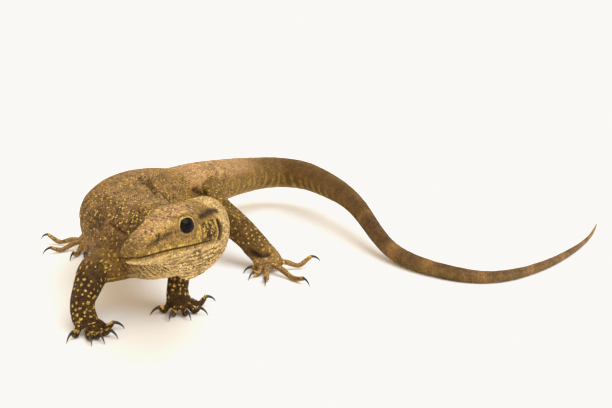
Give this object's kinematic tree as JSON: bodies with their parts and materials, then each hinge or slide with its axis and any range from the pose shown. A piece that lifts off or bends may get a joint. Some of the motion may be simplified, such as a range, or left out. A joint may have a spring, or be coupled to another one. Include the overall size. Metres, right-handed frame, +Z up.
{
  "type": "monitor lizard",
  "caption": "Half-grown clouded monitor lizard standing with its trunk bent, head turned to its right and long tail curving across the ground; a still animal figure for a scene.",
  "frame": {"origin": "on the ground, at the middle of the animal's footprint box", "axes": "+Z up; +X along the longest side of the footprint, the way the tail's tip points away from the body; the head looks towards -Y"},
  "size_m": [0.3452, 0.3084, 0.0648],
  "materials": {
    "head_skin": "small smooth scales, tan brown above, olive yellow lips, pale straw throat",
    "body_skin": "small dry scales, brown with dark edged golden spots",
    "tail_skin": "ringed small scales, brown with faint paler bars and ochre bands near the end",
    "limb_skin": "small dry scales, blackish brown with clear yellow spots",
    "claw_horn": "smooth dark horn, satin gloss",
    "eye": "wet, very smooth, almost black"
  },
  "bodies": {
    "root": {"head": "head_skin", "neck": "body_skin", "torso": "body_skin", "hips": "body_skin", "tail_base": "tail_skin", "tail_middle": "tail_skin", "tail_end": "tail_skin", "tail_tip": "tail_skin", "eye_left": "eye", "eye_right": "eye", "upper_arm_left": "limb_skin", "forearm_left": "limb_skin", "hand_left": "limb_skin", "thigh_left": "limb_skin", "shin_left": "limb_skin", "foot_left": "limb_skin", "upper_arm_right": "limb_skin", "forearm_right": "limb_skin", "hand_right": "limb_skin", "thigh_right": "limb_skin", "shin_right": "limb_skin", "foot_right": "limb_skin", "hand_left_claw_1": "claw_horn", "hand_left_claw_2": "claw_horn", "hand_left_claw_3": "claw_horn", "hand_left_claw_4": "claw_horn", "hand_left_claw_5": "claw_horn", "hand_right_claw_1": "claw_horn", "hand_right_claw_2": "claw_horn", "hand_right_claw_3": "claw_horn", "hand_right_claw_4": "claw_horn", "hand_right_claw_5": "claw_horn", "foot_left_claw_1": "claw_horn", "foot_left_claw_2": "claw_horn", "foot_left_claw_3": "claw_horn", "foot_left_claw_4": "claw_horn", "foot_left_claw_5": "claw_horn", "foot_right_claw_1": "claw_horn", "foot_right_claw_2": "claw_horn", "foot_right_claw_3": "claw_horn", "foot_right_claw_4": "claw_horn", "foot_right_claw_5": "claw_horn"}
  },
  "joints": []
}
